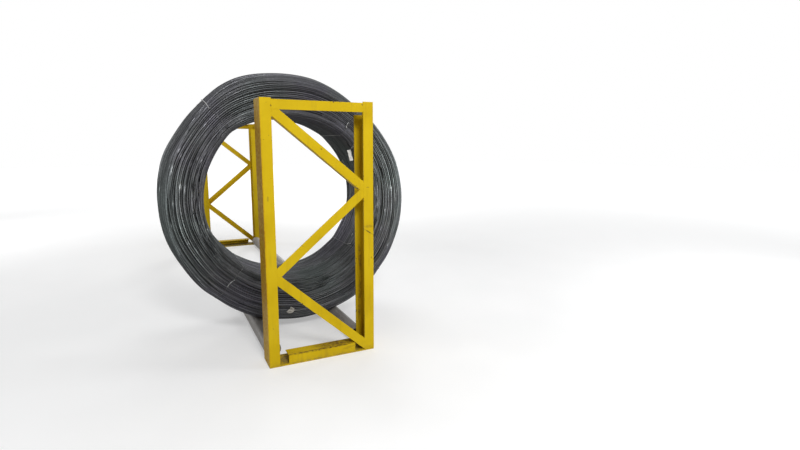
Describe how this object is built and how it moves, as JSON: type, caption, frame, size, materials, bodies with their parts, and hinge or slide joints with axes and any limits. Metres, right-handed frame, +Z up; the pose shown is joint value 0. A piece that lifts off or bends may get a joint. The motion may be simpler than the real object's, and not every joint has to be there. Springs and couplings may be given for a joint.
{
  "type": "coil of prestressing steel wire in a storage rack",
  "caption": "Large tied coil of dark steel wire standing on its rim on the two pipes of a long yellow storage rack with a braced gate at each end.",
  "frame": {"origin": "on the floor in the middle of the rack, with the coil's axis above the rack's middle line", "axes": "+Z up, +Y along the rack away from the gate that the coil stands behind, +X to the right seen from that gate"},
  "size_m": [1.97, 4.46, 2.034],
  "materials": {
    "wire": "drawn wire, dark grey, satin",
    "tie_wire": "bright soft wire",
    "rack_paint": "yellow paint, chipped",
    "pipe_steel": "dull grey, dusty"
  },
  "bodies": {
    "root": {"coil": "wire", "front_base_plate": "rack_paint", "front_left_post": "rack_paint", "front_lower_brace": "rack_paint", "front_middle_brace": "rack_paint", "front_right_post": "rack_paint", "front_sill": "rack_paint", "front_top_bar": "rack_paint", "front_upper_brace": "rack_paint", "left_pipe": "pipe_steel", "rear_base_plate": "rack_paint", "rear_left_post": "rack_paint", "rear_lower_brace": "rack_paint", "rear_middle_brace": "rack_paint", "rear_right_post": "rack_paint", "rear_sill": "rack_paint", "rear_top_bar": "rack_paint", "rear_upper_brace": "rack_paint", "right_pipe": "pipe_steel", "tie_lower_left": "tie_wire", "tie_lower_right": "tie_wire", "tie_upper_left": "tie_wire", "tie_upper_right": "tie_wire"}
  },
  "joints": []
}
